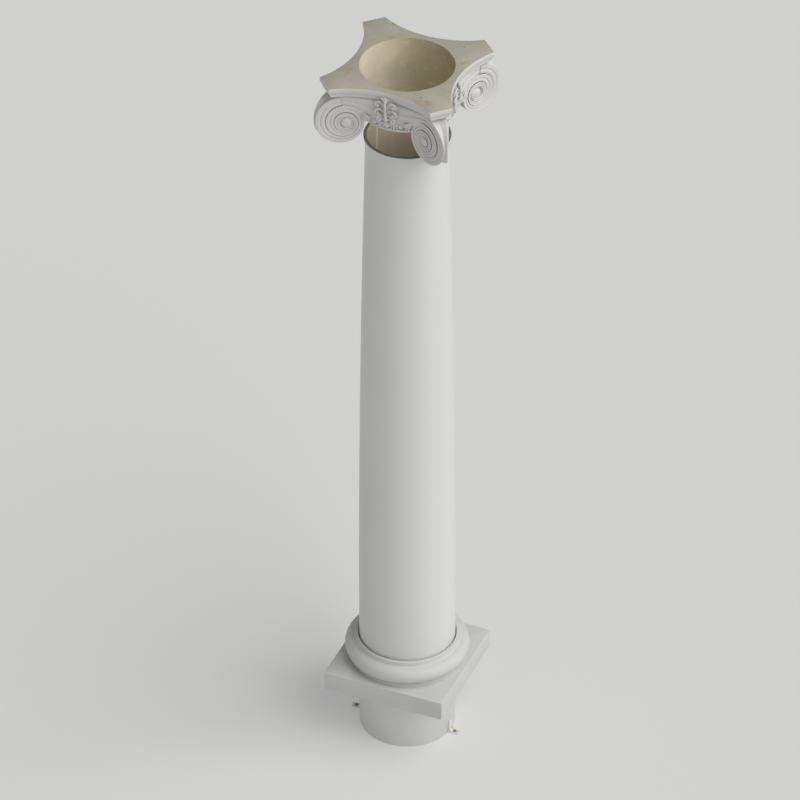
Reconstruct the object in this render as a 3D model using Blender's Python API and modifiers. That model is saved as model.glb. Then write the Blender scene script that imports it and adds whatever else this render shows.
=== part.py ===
"""Round column kit: a hollow tapered shaft, a moulded base ring on a square plinth,
two floor brackets with their screws, and an angular Ionic capital with four horned corners.

Metres, +Z up. The origin is on the floor, on the column's axis. -Y is the front face.
"""
import math

import bmesh
import bpy
from mathutils import Matrix, Vector

GAP = 0.0003                     # clearance between pieces that touch

# Shaft
SHAFT_HEIGHT = 2.182
FOOT_RADIUS = 0.1475
NECK_RADIUS = 0.1215
SHAFT_WALL = 0.010
TAPER_START = 0.45               # height at which the straight foot ends
TAPER_POWER = 1.8                # swell of the taper
RIM_RADIUS = 0.1284              # projecting lip round the open top
RIM_HEIGHT = 0.007

# Plinth, pushed up on the shaft
PLINTH_UNDERSIDE = 0.195
PLINTH_THICKNESS = 0.064
PLINTH_REACH = 0.0475            # from the shaft to the plinth's edge
PLINTH_EDGE = 0.0015

# Base ring
RING_HEIGHT = 0.084
RING_MOUTH = 0.0034              # gap between shaft and ring at the ring's top
TORUS_REACH = 0.0442             # from the shaft to the widest point of the torus
TORUS_RADIUS = 0.0270
TORUS_LIFT = 0.0402              # from the ring's underside to the middle of the torus
FILLET_REACH = 0.0295            # from the shaft to the edge of the fillet under the torus
LISTEL_WIDTH = 0.0100
LISTEL_HEIGHT = 0.0130

# Brackets and screws
BRACKET_HEIGHT = 0.043
BRACKET_LEG = 0.032
BRACKET_WIDTH = 0.022
BRACKET_METAL = 0.0028
UPRIGHT_TAPER = 0.56             # width at the top of the upright leg, as a share
LEG_TAPER = 0.90                 # width at the end of the floor leg, as a share
GUSSET_REACH = 0.0130            # from the column along the floor leg
GUSSET_RISE = 0.0222             # from the floor up the upright leg
HEAD_ACROSS = 0.0080
HEAD_HEIGHT = 0.0045
FLANGE_RADIUS = 0.0056
SHANK_RADIUS = 0.0025
SCREW_ALONG = 0.018              # from the upright leg to the screw
BRACKET_SWING = 5.0              # degrees that each bracket sits forward of the column's side

# Capital, heights
CAPITAL_LIFT = 0.101             # from the shaft's rim to the underside of the echinus
CAPITAL_DEPTH = 0.138            # from the top to the underside of the echinus
ABACUS_THICKNESS = CAPITAL_DEPTH * 0.272
EYE_DEPTH = CAPITAL_DEPTH * 0.952      # from the top to the eye of a volute
VOLUTE_SIZE = CAPITAL_DEPTH * 0.614    # the spiral's radius where it starts
WEB_DEPTH = CAPITAL_DEPTH * 0.49       # how far down the corner webs reach
CANALIS_SAG = CAPITAL_DEPTH * 0.25     # how far the grooved band's lower edge hangs in the middle
EGG_DEPTH = CAPITAL_DEPTH * 0.812      # from the top to the middle of an egg
EGG_HALF_HEIGHT = CAPITAL_DEPTH * 0.105
FLOWER_DEPTH = CAPITAL_DEPTH * 0.43    # from the top to the middle of a flower
FLOWER_HALF_HEIGHT = CAPITAL_DEPTH * 0.33
BEAD_RADIUS = CAPITAL_DEPTH * 0.05

# Capital, plan
BORE_RADIUS = 0.1378
DRUM_WALL = 0.0088               # the casting's wall between the abacus and the eggs
ECHINUS_SWELL = 0.0152           # from the bore to the widest part of the egg moulding
BEAD_REACH = 0.0026              # from the bore to the middle of the bead
ABACUS_MIDDLE = BORE_RADIUS + 0.0222   # from the axis to the middle of a hollow side
ABACUS_HORN = BORE_RADIUS + 0.1180     # from the axis to the cut end of a horn
ABACUS_ARC = 0.287               # radius of a hollow side
EYE_X = BORE_RADIUS - 0.0208     # from the middle of a side to the eye
EYE_Y = BORE_RADIUS + 0.0297     # from the axis out to the eye
VOLUTE_TURN = 27.0               # degrees between a volute and its face of the capital
VOLUTE_DECAY = 0.68              # what is left of the radius after the first turn
VOLUTE_DECAY_WITHIN = 0.60       # what each later turn leaves
VOLUTE_TURNS = 3
VOLUTE_RELIEF = 0.005
SPIRAL_SHIFT = (0.20, 0.08)      # the spiral's middle beside and over the eye, as shares of its radius
VALLEY_SHARE = 0.86              # the valley between two volutes, as a share of their outline
WEB_HALF_WIDTH = 0.028
WEB_REACH = BORE_RADIUS + 0.0672       # from the axis to the outer end of a corner web
CANALIS_FRONT = BORE_RADIUS + 0.0142   # from the axis to the grooved band in the middle of a side
CANALIS_BACK = 0.012             # thickness of the band
CANALIS_SETBACK = 0.0008         # its crown lies this far behind the volutes'
CANALIS_ROOT = 0.006             # how far the band's back rises into the abacus
EGG_PITCH = 16.0                 # degrees from egg to egg
EGG_REACH = 0.0120               # from the bore to the middle of an egg
EGG_HALF_WIDTH = 0.0150
EGG_HALF_DEPTH = 0.0080
FLOWER_HALF_WIDTH = 0.032
FLOWER_ROOT = -0.018             # how far a flower is rooted behind the abacus's edge
FLOWER_PETALS = 8
PETAL_NOTCH = 0.17               # depth of the notches between petals, as a share

# Neck: standing walls below the echinus, in degrees from +X
NECK_STRETCHES = ((-41.0, -13.0), (57.0, 165.0))
NECK_WALL = 0.0085
NECK_SEAT = 0.012                # thickness of the neck's turned-in foot
FOOT_SLOPE = 0.005               # the chamfer on the foot's inner edge

# Steps under the abacus: (share of its thickness, how far in)
ABACUS_STEPS = ((0.0, 0.0), (0.40, 0.0), (0.453, 0.0045), (0.573, 0.0070), (0.80, 0.0070), (0.827, 0.0110),
                (1.0, 0.0110))

# Carved band of a volute: (place across it, depth behind its crown)
BAND = ((0.0, VOLUTE_RELIEF), (0.12, 0.0), (0.74, 0.0), (0.90, VOLUTE_RELIEF))

# Steps round each form
ROUND_STEPS = 48
ECHINUS_STEPS = 28
SIDE_STEPS = 8
FLOWER_STEPS = 16
CANALIS_STEPS = 4
SPIRAL_STEPS = 9
SCREW_SIDES = 16

PLINTH_TOP = PLINTH_UNDERSIDE + PLINTH_THICKNESS
RING_BOTTOM = PLINTH_TOP + GAP
CAPITAL_TOP = SHAFT_HEIGHT + CAPITAL_LIFT + CAPITAL_DEPTH

for old in list(bpy.data.objects):
    bpy.data.objects.remove(old, do_unlink=True)


def new_collection(name):
    collection = bpy.data.collections.new(name)
    bpy.context.scene.collection.children.link(collection)
    return collection


PARTS = new_collection("round_column")
CUTTERS = new_collection("cutters")


def material(name, colour, roughness, metallic=0.0):
    made = bpy.data.materials.new(name)
    made.use_nodes = True
    shader = made.node_tree.nodes["Principled BSDF"]
    shader.inputs["Base Color"].default_value = (*colour, 1.0)
    shader.inputs["Roughness"].default_value = roughness
    shader.inputs["Metallic"].default_value = metallic
    made.diffuse_color = (*colour, 1.0)
    return made


def add_object(name, mesh, collection=PARTS, finish=None):
    made = bpy.data.objects.new(name, mesh)
    collection.objects.link(made)
    if finish:
        mesh.materials.append(finish)
    return made


def object_from_bmesh(name, bm, collection=PARTS, finish=None):
    bmesh.ops.recalc_face_normals(bm, faces=bm.faces)
    mesh = bpy.data.meshes.new(name)
    bm.to_mesh(mesh)
    bm.free()
    return add_object(name, mesh, collection, finish)


def take_primitive(name, collection):
    """Names the primitive that was just added and moves it to a collection."""
    made = bpy.context.object
    made.name = name
    for holder in list(made.users_collection):
        holder.objects.unlink(made)
    collection.objects.link(made)
    return made


def smooth(made, degrees=35.0):
    made.data.shade_smooth()
    made.data.set_sharp_from_angle(angle=math.radians(degrees))


def make_guide(made):
    made.hide_render = True
    made.display_type = "WIRE"


def apply_modifiers(made):
    graph = bpy.context.evaluated_depsgraph_get()
    mesh = bpy.data.meshes.new_from_object(made.evaluated_get(graph))
    made.modifiers.clear()
    old = made.data
    made.data = mesh
    bpy.data.meshes.remove(old)


def boolean(target, tool, operation):
    step = target.modifiers.new(operation.lower(), "BOOLEAN")
    step.object = tool
    step.operation = operation
    step.solver = "EXACT"


def join_in(target, tools):
    """Makes the tools one body with the target and removes them."""
    for tool in tools:
        boolean(target, tool, "UNION")
    apply_modifiers(target)
    for tool in tools:
        bpy.data.objects.remove(tool, do_unlink=True)


def turned(name, profile, collection=PARTS, finish=None, steps=ROUND_STEPS):
    """A closed profile of (radius, height) points, down the outside first, turned about Z."""
    bm = bmesh.new()
    verts = [bm.verts.new((radius, 0.0, height)) for radius, height in profile]
    for index, vert in enumerate(verts):
        bm.edges.new((vert, verts[(index + 1) % len(verts)]))
    mesh = bpy.data.meshes.new(name)
    bm.to_mesh(mesh)
    bm.free()
    made = add_object(name, mesh, collection, finish)
    screw = made.modifiers.new("turn", "SCREW")
    screw.axis = "Z"
    screw.steps = steps
    screw.render_steps = steps
    screw.use_merge_vertices = True
    screw.merge_threshold = 0.00001
    screw.use_smooth_shade = True
    apply_modifiers(made)
    return made


def loft(name, rings, collection=PARTS, finish=None):
    """Skins rings of equal length, from the first to the last, and caps both ends."""
    bm = bmesh.new()
    rows = [[bm.verts.new(point) for point in ring] for ring in rings]
    for upper, lower in zip(rows, rows[1:]):
        count = len(upper)
        for index in range(count):
            after = (index + 1) % count
            bm.faces.new((upper[index], upper[after], lower[after], lower[index]))
    bm.faces.new(rows[0])
    bm.faces.new(rows[-1])
    return object_from_bmesh(name, bm, collection, finish)


def arc(centre, radius, start, end, steps):
    """Points (x, y) round a centre, from one angle in degrees to another."""
    points = []
    for step in range(steps + 1):
        angle = math.radians(start + (end - start) * step / steps)
        points.append((centre[0] + radius * math.cos(angle), centre[1] + radius * math.sin(angle)))
    return points


def shaft_radius(height):
    """Outer radius: straight foot, then a swelling taper to the neck."""
    rise = max(0.0, height - TAPER_START) / (SHAFT_HEIGHT - TAPER_START)
    return FOOT_RADIUS - (FOOT_RADIUS - NECK_RADIUS) * rise ** TAPER_POWER


# Finishes
PAINTED = material("painted_shell", (0.80, 0.80, 0.78), 0.55)
CAST = material("painted_casting", (0.80, 0.79, 0.76), 0.60)
ZINC = material("yellow_zinc", (0.78, 0.72, 0.50), 0.35, 1.0)
SCREW_BLUE = material("blue_screw", (0.08, 0.20, 0.42), 0.40, 0.6)


def make_shaft():
    top = SHAFT_HEIGHT
    lip_foot = top - RIM_HEIGHT
    levels = 6
    outer = [(RIM_RADIUS, top), (RIM_RADIUS, lip_foot)]
    outer.append((shaft_radius(lip_foot), lip_foot - (RIM_RADIUS - NECK_RADIUS)))
    for level in range(1, levels):
        height = TAPER_START + (lip_foot - TAPER_START) * (1 - level / levels)
        outer.append((shaft_radius(height), height))
    outer += [(FOOT_RADIUS, TAPER_START), (FOOT_RADIUS, 0.0)]
    inner = [(FOOT_RADIUS - SHAFT_WALL, 0.0)]
    inner_levels = 3
    for level in range(inner_levels + 1):
        height = TAPER_START + (lip_foot - TAPER_START) * level / inner_levels
        inner.append((shaft_radius(height) - SHAFT_WALL, height))
    inner.append((RIM_RADIUS - SHAFT_WALL, top))
    shaft = turned("shaft", outer + inner, finish=PAINTED)
    smooth(shaft)


def make_base_ring():
    """Listel, torus and the fillet it stands on, with a mouth that is wider than the bore."""
    bore = FOOT_RADIUS + GAP
    mouth = FOOT_RADIUS + RING_MOUTH
    top = RING_BOTTOM + RING_HEIGHT
    listel = mouth + LISTEL_WIDTH
    fillet = FOOT_RADIUS + FILLET_REACH
    centre = (FOOT_RADIUS + TORUS_REACH - TORUS_RADIUS, RING_BOTTOM + TORUS_LIFT)
    outside = [(mouth, top), (listel, top), (listel, top - LISTEL_HEIGHT)]
    outside += arc(centre, TORUS_RADIUS, 84.0, -66.0, 8)
    outside += [(fillet, RING_BOTTOM + TORUS_LIFT - TORUS_RADIUS), (fillet, RING_BOTTOM)]
    inside = [(bore, RING_BOTTOM), (bore, top - 4 * RING_MOUTH)]
    ring = turned("base_ring", outside + inside, finish=CAST)
    smooth(ring)


def make_plinth():
    bpy.ops.mesh.primitive_cube_add(size=1.0)
    plinth = take_primitive("plinth", PARTS)
    width = 2 * (FOOT_RADIUS + PLINTH_REACH)
    plinth.data.transform(Matrix.Diagonal((width, width, PLINTH_THICKNESS, 1.0)))
    plinth.data.transform(Matrix.Translation((0, 0, PLINTH_UNDERSIDE + PLINTH_THICKNESS / 2)))
    plinth.data.materials.append(CAST)
    edge = plinth.modifiers.new("edge", "BEVEL")
    edge.width = PLINTH_EDGE
    edge.segments = 2
    apply_modifiers(plinth)
    bore = FOOT_RADIUS + GAP
    depth = 4 * PLINTH_THICKNESS
    bpy.ops.mesh.primitive_cylinder_add(vertices=ROUND_STEPS, radius=bore, depth=depth)
    hole = take_primitive("plinth_bore", CUTTERS)
    hole.location.z = PLINTH_TOP - PLINTH_THICKNESS / 2
    make_guide(hole)
    boolean(plinth, hole, "DIFFERENCE")
    smooth(plinth)


def swing(made, side):
    """Turns a foot fitting round the column, a little forward of its side."""
    made.data.transform(Matrix.Rotation(math.radians(-side * BRACKET_SWING), 4, "Z"))


def make_bracket(name, side):
    """An angle bracket at the foot: upright leg, floor leg and a gusset between them."""
    face = FOOT_RADIUS + GAP
    half = BRACKET_WIDTH / 2
    metal = BRACKET_METAL
    tip = half * UPRIGHT_TAPER
    toe = half * LEG_TAPER
    end = face + BRACKET_LEG
    lengthwise = [(face, BRACKET_HEIGHT), (face + metal, BRACKET_HEIGHT), (face + metal, 2 * metal),
                  (face + 2 * metal, metal), (end, metal), (end, 0.0), (face, 0.0)]
    widths = [tip, tip, half, half, toe, toe, half]
    rings = []
    for edge in (-1, 1):
        rings.append([(side * x, edge * width, z) for (x, z), width in zip(lengthwise, widths)])
    bracket = loft(name, rings, finish=ZINC)
    sunk = metal / 2
    corners = [(face + sunk, sunk), (face + GUSSET_REACH, sunk), (face + sunk, GUSSET_RISE)]
    for edge in (-1, 1):
        sides = (edge * half * 0.94, edge * half * 0.72)
        web_rings = [[(side * x, y, z) for x, z in corners] for y in sides]
        join_in(bracket, [loft("web", web_rings, CUTTERS)])
    centre = side * (face + SCREW_ALONG)
    bpy.ops.mesh.primitive_cylinder_add(vertices=SCREW_SIDES, radius=SHANK_RADIUS + GAP, depth=4 * metal)
    hole = take_primitive(name + "_hole", CUTTERS)
    hole.location = (centre, 0.0, metal / 2)
    boolean(bracket, hole, "DIFFERENCE")
    apply_modifiers(bracket)
    bpy.data.objects.remove(hole, do_unlink=True)
    swing(bracket, side)


def make_screw(name, side):
    """A hexagon head with a washer flange over a short shank in the floor leg's hole."""
    face = FOOT_RADIUS + GAP
    seat = BRACKET_METAL + GAP
    flange = seat + HEAD_HEIGHT * 0.22
    head_top = seat + HEAD_HEIGHT
    corner = HEAD_ACROSS / math.sqrt(3)
    hexagon_foot = flange - HEAD_HEIGHT * 0.1
    lift = Matrix.Translation((0, 0, (head_top + hexagon_foot) / 2))
    bm = bmesh.new()
    bmesh.ops.create_cone(bm, cap_ends=True, segments=6, radius1=corner, radius2=corner * 0.97,
                          depth=head_top - hexagon_foot, matrix=lift)
    head = object_from_bmesh(name, bm, finish=SCREW_BLUE)
    body = [(FLANGE_RADIUS * 0.96, flange), (FLANGE_RADIUS, seat), (SHANK_RADIUS, seat), (SHANK_RADIUS, 0.0)]
    rings = []
    for radius, height in body:
        ring = []
        for step in range(SCREW_SIDES):
            angle = 2 * math.pi * step / SCREW_SIDES
            ring.append((radius * math.cos(angle), radius * math.sin(angle), height))
        rings.append(ring)
    join_in(head, [loft("shank", rings, CUTTERS)])
    head.data.transform(Matrix.Translation((side * (face + SCREW_ALONG), 0.0, 0.0)))
    swing(head, side)


# Capital

def quarter_turns(points, turn):
    spin = Matrix.Rotation(math.radians(90.0 * turn), 3, "Z")
    return [spin @ Vector(point) for point in points]


def abacus_outline(inset, height):
    """The four hollow sides and four cut horns, moved in by inset, as one ring of points."""
    centre = ABACUS_MIDDLE + ABACUS_ARC
    radius = ABACUS_ARC + inset
    reach = math.sqrt(2) * (ABACUS_HORN - inset) - centre
    limit = math.pi / 4 + math.asin(reach / (math.sqrt(2) * radius))
    side = []
    for step in range(SIDE_STEPS + 1):
        angle = limit * (2 * step / SIDE_STEPS - 1)
        side.append((radius * math.sin(angle), radius * math.cos(angle) - centre, height))
    ring = []
    for turn in range(4):
        ring += quarter_turns(side, turn)
    return ring


def spiral_radius(turn):
    return VOLUTE_SIZE * VOLUTE_DECAY ** min(turn, 1.0) * VOLUTE_DECAY_WITHIN ** max(turn - 1.0, 0.0)


def spiral_point(turn, across=0.0):
    """(outward, up) from the eye after so many turns; across runs over the band, 0 to 1."""
    radius = spiral_radius(turn) * (1 - across) + spiral_radius(turn + 1) * across
    angle = 2 * math.pi * turn
    return radius * (math.sin(angle) + SPIRAL_SHIFT[0]), radius * (math.cos(angle) + SPIRAL_SHIFT[1])


def volute_frame(depth_behind):
    """Where a volute's face lies: a function from (outward, up) to a point of the front right volute."""
    angle = math.radians(VOLUTE_TURN)
    outward = Vector((math.cos(angle), -math.sin(angle), 0.0))
    inward = Vector((math.sin(angle), math.cos(angle), 0.0))
    eye = Vector((EYE_X, -EYE_Y, CAPITAL_TOP - EYE_DEPTH)) + inward * depth_behind
    return lambda along, up: eye + outward * along + Vector((0.0, 0.0, up))


def on_diagonal(point):
    """Slides a point back, square to its volute's face, to the corner's middle plane."""
    angle = math.radians(VOLUTE_TURN)
    back = -(point.x + point.y) / (math.sin(angle) + math.cos(angle))
    return point + Vector((math.sin(angle), math.cos(angle), 0.0)) * back


def across_corner(point):
    return Vector((-point.y, -point.x, point.z))


def band_row(turns):
    """One cut across the spiral band: its outer foot, crown and groove."""
    row = []
    for across, depth in BAND:
        along, up = spiral_point(turns, across)
        row.append(volute_frame(depth)(along, up))
    return row


def volute_face(bm, move):
    """Skins one carved face and returns its outline, once round from the band's start."""
    steps = SPIRAL_STEPS * VOLUTE_TURNS
    rows = []
    for step in range(steps + 1):
        rows.append([bm.verts.new(move(point)) for point in band_row(step / SPIRAL_STEPS)])
    for index in range(steps):
        before, after = rows[index], rows[index + 1]
        for lane in range(3):
            bm.faces.new((before[lane], after[lane], after[lane + 1], before[lane + 1]))
        if index + 1 + SPIRAL_STEPS <= steps:
            next_before, next_after = rows[index + SPIRAL_STEPS], rows[index + 1 + SPIRAL_STEPS]
            bm.faces.new((before[3], after[3], next_after[0], next_before[0]))
    last = [rows[index][3] for index in range(steps - SPIRAL_STEPS, steps + 1)]
    loop = [rows[steps][0]] + last + [rows[steps][2], rows[steps][1]]
    middle = move(volute_frame(VOLUTE_RELIEF)(VOLUTE_SIZE * 0.02, VOLUTE_SIZE * 0.01))
    rise_way = move(volute_frame(0.0)(0.0, 0.0)) - move(volute_frame(1.0)(0.0, 0.0))
    for share, rise in ((0.86, VOLUTE_RELIEF * 0.7), (0.50, VOLUTE_RELIEF)):
        ring = []
        for vert in loop:
            flat = vert.co - rise_way * (vert.co - middle).dot(rise_way)
            ring.append(bm.verts.new(middle + (flat - middle) * share + rise_way * rise))
        for index, vert in enumerate(loop):
            after = (index + 1) % len(loop)
            bm.faces.new((vert, loop[after], ring[after], ring[index]))
        loop = ring
    bm.faces.new(loop)
    start = rows[0]
    return [rows[step][0] for step in range(SPIRAL_STEPS + 1)] + [start[3], start[2], start[1]]


def volute_pair(turn):
    """Two volutes of one corner as one wedge, with a valley between their edges."""
    bm = bmesh.new()
    spin = Matrix.Rotation(math.radians(90.0 * turn), 3, "Z")
    near = volute_face(bm, lambda point: spin @ point)
    far = volute_face(bm, lambda point: spin @ across_corner(point))
    outline = [spiral_point(step / SPIRAL_STEPS) for step in range(SPIRAL_STEPS + 1)]
    outline += [spiral_point(0.0, across) for across, depth in BAND[:0:-1]]
    place = volute_frame(VOLUTE_RELIEF)
    valley = []
    for along, up in outline:
        drawn = along * VALLEY_SHARE if along > 0 else along
        valley.append(bm.verts.new(spin @ on_diagonal(place(drawn, up * (1 + VALLEY_SHARE) / 2))))
    for edge in (near, far):
        for index, vert in enumerate(edge):
            after = (index + 1) % len(edge)
            bm.faces.new((vert, edge[after], valley[after], valley[index]))
    return object_from_bmesh("volute_pair", bm, CUTTERS)


def ease(share):
    return share * share * (3 - 2 * share)


def canalis_plan(share):
    """A point and a direction in plan, from the volute (0) to the middle of the side (1)."""
    start = volute_frame(0.0)(0.0, 0.0)
    points = [Vector((start.x, start.y)), Vector((0.66 * start.x, -CANALIS_FRONT - 0.002)),
              Vector((0.33 * start.x, -CANALIS_FRONT)), Vector((0.0, -CANALIS_FRONT))]
    keep = 1 - share
    spot = (points[0] * keep ** 3 + points[1] * 3 * keep ** 2 * share
            + points[2] * 3 * keep * share ** 2 + points[3] * share ** 3)
    slope = ((points[1] - points[0]) * keep ** 2 + (points[2] - points[1]) * 2 * keep * share
             + (points[3] - points[2]) * share ** 2)
    return spot, slope.normalized()


def canalis(turn):
    """The grooved band that hangs from volute to volute across one side."""
    half = []
    for step in range(CANALIS_STEPS + 1):
        share = step / CANALIS_STEPS
        spot, slope = canalis_plan(share)
        inward = Vector((-slope.y, slope.x, 0.0))
        if inward.y < 0:
            inward = -inward
        row = []
        for across, depth in BAND + ((1.0, VOLUTE_RELIEF),):
            along, up = spiral_point(0.0, across)
            height = CAPITAL_TOP - EYE_DEPTH + up - CANALIS_SAG * across * ease(share)
            point = Vector((spot.x, spot.y, height)) + inward * (depth + CANALIS_SETBACK)
            row.append(point - Vector((slope.x, slope.y, 0.0)) * along * (1 - share))
        back = inward * CANALIS_BACK
        half.append(row + [row[-1] + back, row[0] + back + Vector((0.0, 0.0, CANALIS_ROOT))])
    mirrored = [[Vector((-point.x, point.y, point.z)) for point in row] for row in half[:-1]]
    return loft("canalis", [quarter_turns(row, turn) for row in mirrored + half[::-1]], CUTTERS)


def ball(name, centre, radii, spin):
    """An ellipsoid: radii are (along, deep, up) before it spins about Z."""
    bm = bmesh.new()
    bmesh.ops.create_uvsphere(bm, u_segments=7, v_segments=4, radius=1.0)
    bm.transform(Matrix.Translation(centre) @ Matrix.Rotation(spin, 4, "Z") @ Matrix.Diagonal((*radii, 1.0)))
    return object_from_bmesh(name, bm, CUTTERS)


def flower(turn):
    """The leafy flower in the middle of a side: a lobed boss that swells to a stem."""
    middle = CAPITAL_TOP - FLOWER_DEPTH
    rings = []
    for share, out in ((0.94, FLOWER_ROOT), (1.0, -0.002), (0.80, 0.0065), (0.25, 0.0110)):
        ring = []
        for step in range(FLOWER_STEPS):
            angle = 2 * math.pi * step / FLOWER_STEPS
            petal = 1.0 - PETAL_NOTCH * share * (1 - math.cos(FLOWER_PETALS * angle)) / 2
            along = FLOWER_HALF_WIDTH * share * petal * math.sin(angle)
            up = FLOWER_HALF_HEIGHT * share * petal * math.cos(angle)
            ring.append((along, -(ABACUS_MIDDLE + out), middle + up))
        rings.append(quarter_turns(ring, turn))
    return loft("flower", rings, CUTTERS)


def eggs():
    """Eggs round the echinus, three to a side, where the volutes leave it open."""
    pieces = []
    for side in range(4):
        for place in (-1, 0, 1):
            angle = math.radians(90.0 * side - 90.0 + EGG_PITCH * place)
            centre = Vector((math.cos(angle), math.sin(angle), 0.0)) * (BORE_RADIUS + EGG_REACH)
            centre.z = CAPITAL_TOP - EGG_DEPTH
            radii = (EGG_HALF_WIDTH, EGG_HALF_DEPTH, EGG_HALF_HEIGHT)
            pieces.append(ball("egg", centre, radii, angle + math.pi / 2))
    return pieces


def neck_wall(start, end):
    """A stretch of the neck: a standing wall whose turned-in foot sits on the shaft's rim."""
    seat = SHAFT_HEIGHT + GAP
    inner = BORE_RADIUS + GAP
    outer = BORE_RADIUS + NECK_WALL
    top = CAPITAL_TOP - CAPITAL_DEPTH + 2 * BEAD_RADIUS
    foot = RIM_RADIUS - SHAFT_WALL + GAP
    profile = [(outer, top), (outer, seat), (foot, seat), (foot, seat + NECK_SEAT - FOOT_SLOPE),
               (foot + FOOT_SLOPE, seat + NECK_SEAT), (inner, seat + NECK_SEAT), (inner, top)]
    steps = math.ceil(ROUND_STEPS * (end - start) / 360.0)
    rings = []
    for step in range(steps + 1):
        angle = math.radians(start + (end - start) * step / steps)
        rings.append([(r * math.cos(angle), r * math.sin(angle), z) for r, z in profile])
    return loft("neck_wall", rings, CUTTERS)


def echinus():
    """The drum under the abacus, the egg moulding that swells from it and the bead below."""
    under = CAPITAL_TOP - CAPITAL_DEPTH
    core = BORE_RADIUS * 0.8
    drum = BORE_RADIUS + DRUM_WALL
    swell = BORE_RADIUS + ECHINUS_SWELL
    bead = BORE_RADIUS + BEAD_REACH
    rooted = CAPITAL_TOP - ABACUS_THICKNESS / 2
    egg_top = CAPITAL_TOP - EGG_DEPTH + EGG_HALF_HEIGHT
    profile = [(core, rooted), (drum, rooted), (drum, egg_top)]
    profile += [(swell - EGG_HALF_DEPTH / 4, egg_top - BEAD_RADIUS), (swell, CAPITAL_TOP - EGG_DEPTH)]
    profile.append((bead + BEAD_RADIUS * 0.7, under + 2.6 * BEAD_RADIUS))
    profile.append((bead + BEAD_RADIUS * 0.6, under + 2 * BEAD_RADIUS))
    profile += arc((bead, under + BEAD_RADIUS), BEAD_RADIUS, 50.0, -74.0, 3)
    profile += [(bead, under), (core, under)]
    return turned("echinus", profile, CUTTERS, steps=ECHINUS_STEPS)


def corner_web(turn):
    """The block that ties the two volutes of a corner to the abacus and the drum."""
    spin = Matrix.Rotation(math.radians(90.0 * turn - 45.0), 3, "Z")
    root = BORE_RADIUS * 0.9
    rings = []
    for depth in (ABACUS_THICKNESS / 2, WEB_DEPTH):
        ring = []
        for along, hand in ((root, -1), (WEB_REACH, -1), (WEB_REACH, 1), (root, 1)):
            ring.append(spin @ Vector((along, hand * WEB_HALF_WIDTH, CAPITAL_TOP - depth)))
        rings.append(ring)
    return loft("corner_web", rings, CUTTERS)


def make_capital():
    """The casting as one body: abacus, drum, volutes, grooved bands, eggs, flowers and neck."""
    abacus = []
    for share, inset in ABACUS_STEPS:
        abacus.append(abacus_outline(inset, CAPITAL_TOP - share * ABACUS_THICKNESS))
    capital = loft("capital", abacus, finish=CAST)
    join_in(capital, [echinus()])
    join_in(capital, [corner_web(turn) for turn in range(4)])
    join_in(capital, [volute_pair(turn) for turn in range(4)])
    join_in(capital, [canalis(turn) for turn in range(4)])
    join_in(capital, eggs())
    join_in(capital, [flower(turn) for turn in range(4)])
    bpy.ops.mesh.primitive_cylinder_add(vertices=ROUND_STEPS, radius=BORE_RADIUS, depth=4 * CAPITAL_DEPTH)
    bore = take_primitive("capital_bore", CUTTERS)
    bore.location.z = CAPITAL_TOP
    boolean(capital, bore, "DIFFERENCE")
    apply_modifiers(capital)
    bpy.data.objects.remove(bore, do_unlink=True)
    join_in(capital, [neck_wall(start, end) for start, end in NECK_STRETCHES])
    smooth(capital)


make_shaft()
make_base_ring()
make_plinth()
for label, side in (("left", -1), ("right", 1)):
    make_bracket("bracket_" + label, side)
    make_screw("screw_" + label, side)
make_capital()
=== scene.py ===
"""Looks for the round column kit: painted shaft, base ring, plinth, brackets and an Ionic capital.

Metres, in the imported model's frame: +Z up, -Y the front of plinth and capital.
"""
import math

import bmesh
import bpy
from mathutils import Matrix, Vector


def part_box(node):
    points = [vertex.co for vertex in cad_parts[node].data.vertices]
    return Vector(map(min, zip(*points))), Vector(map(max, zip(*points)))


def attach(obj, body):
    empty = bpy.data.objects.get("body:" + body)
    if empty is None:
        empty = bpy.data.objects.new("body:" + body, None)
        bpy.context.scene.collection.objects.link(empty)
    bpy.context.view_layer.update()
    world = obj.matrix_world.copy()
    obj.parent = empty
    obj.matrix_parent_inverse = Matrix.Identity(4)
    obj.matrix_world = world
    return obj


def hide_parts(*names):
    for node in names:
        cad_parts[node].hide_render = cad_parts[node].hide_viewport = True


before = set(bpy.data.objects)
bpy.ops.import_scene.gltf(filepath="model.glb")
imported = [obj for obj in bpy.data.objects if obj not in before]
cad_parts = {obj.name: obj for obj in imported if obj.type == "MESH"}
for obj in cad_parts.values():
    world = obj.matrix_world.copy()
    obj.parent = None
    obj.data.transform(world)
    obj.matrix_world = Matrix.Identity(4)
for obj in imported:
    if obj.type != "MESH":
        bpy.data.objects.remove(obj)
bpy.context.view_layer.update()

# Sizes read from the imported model
SHAFT_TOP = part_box("shaft")[1].z
FOOT_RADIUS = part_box("shaft")[1].x
CAPITAL_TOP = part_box("capital")[1].z
PLINTH_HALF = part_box("plinth")[1].x
PLINTH_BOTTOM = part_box("plinth")[0].z
PLINTH_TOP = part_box("plinth")[1].z
RING_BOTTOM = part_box("base_ring")[0].z
RING_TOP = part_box("base_ring")[1].z
RING_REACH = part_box("base_ring")[1].x

MERGE = 0.00002                  # points nearer than this become one

# Steps of the meshes
ROUND = 192                      # round a turned piece
SIDE = 48                        # along each hollow side of the abacus
SPIRAL = 40                      # in each turn of a volute
CANALIS_STEPS = 36               # along half of a grooved band
EDGE_STEPS = 8                   # across the edge between two volutes
SHELL_STEPS = 28                 # along an egg's shell
NECK_PITCH = 2                   # degrees to a step of the neck's wall
FLOWER_STEPS = 40                # round the flower's ground
TAPER_STEPS = 40                 # up the shaft's outside
INNER_STEPS = 16                 # up the shaft's inside

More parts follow.
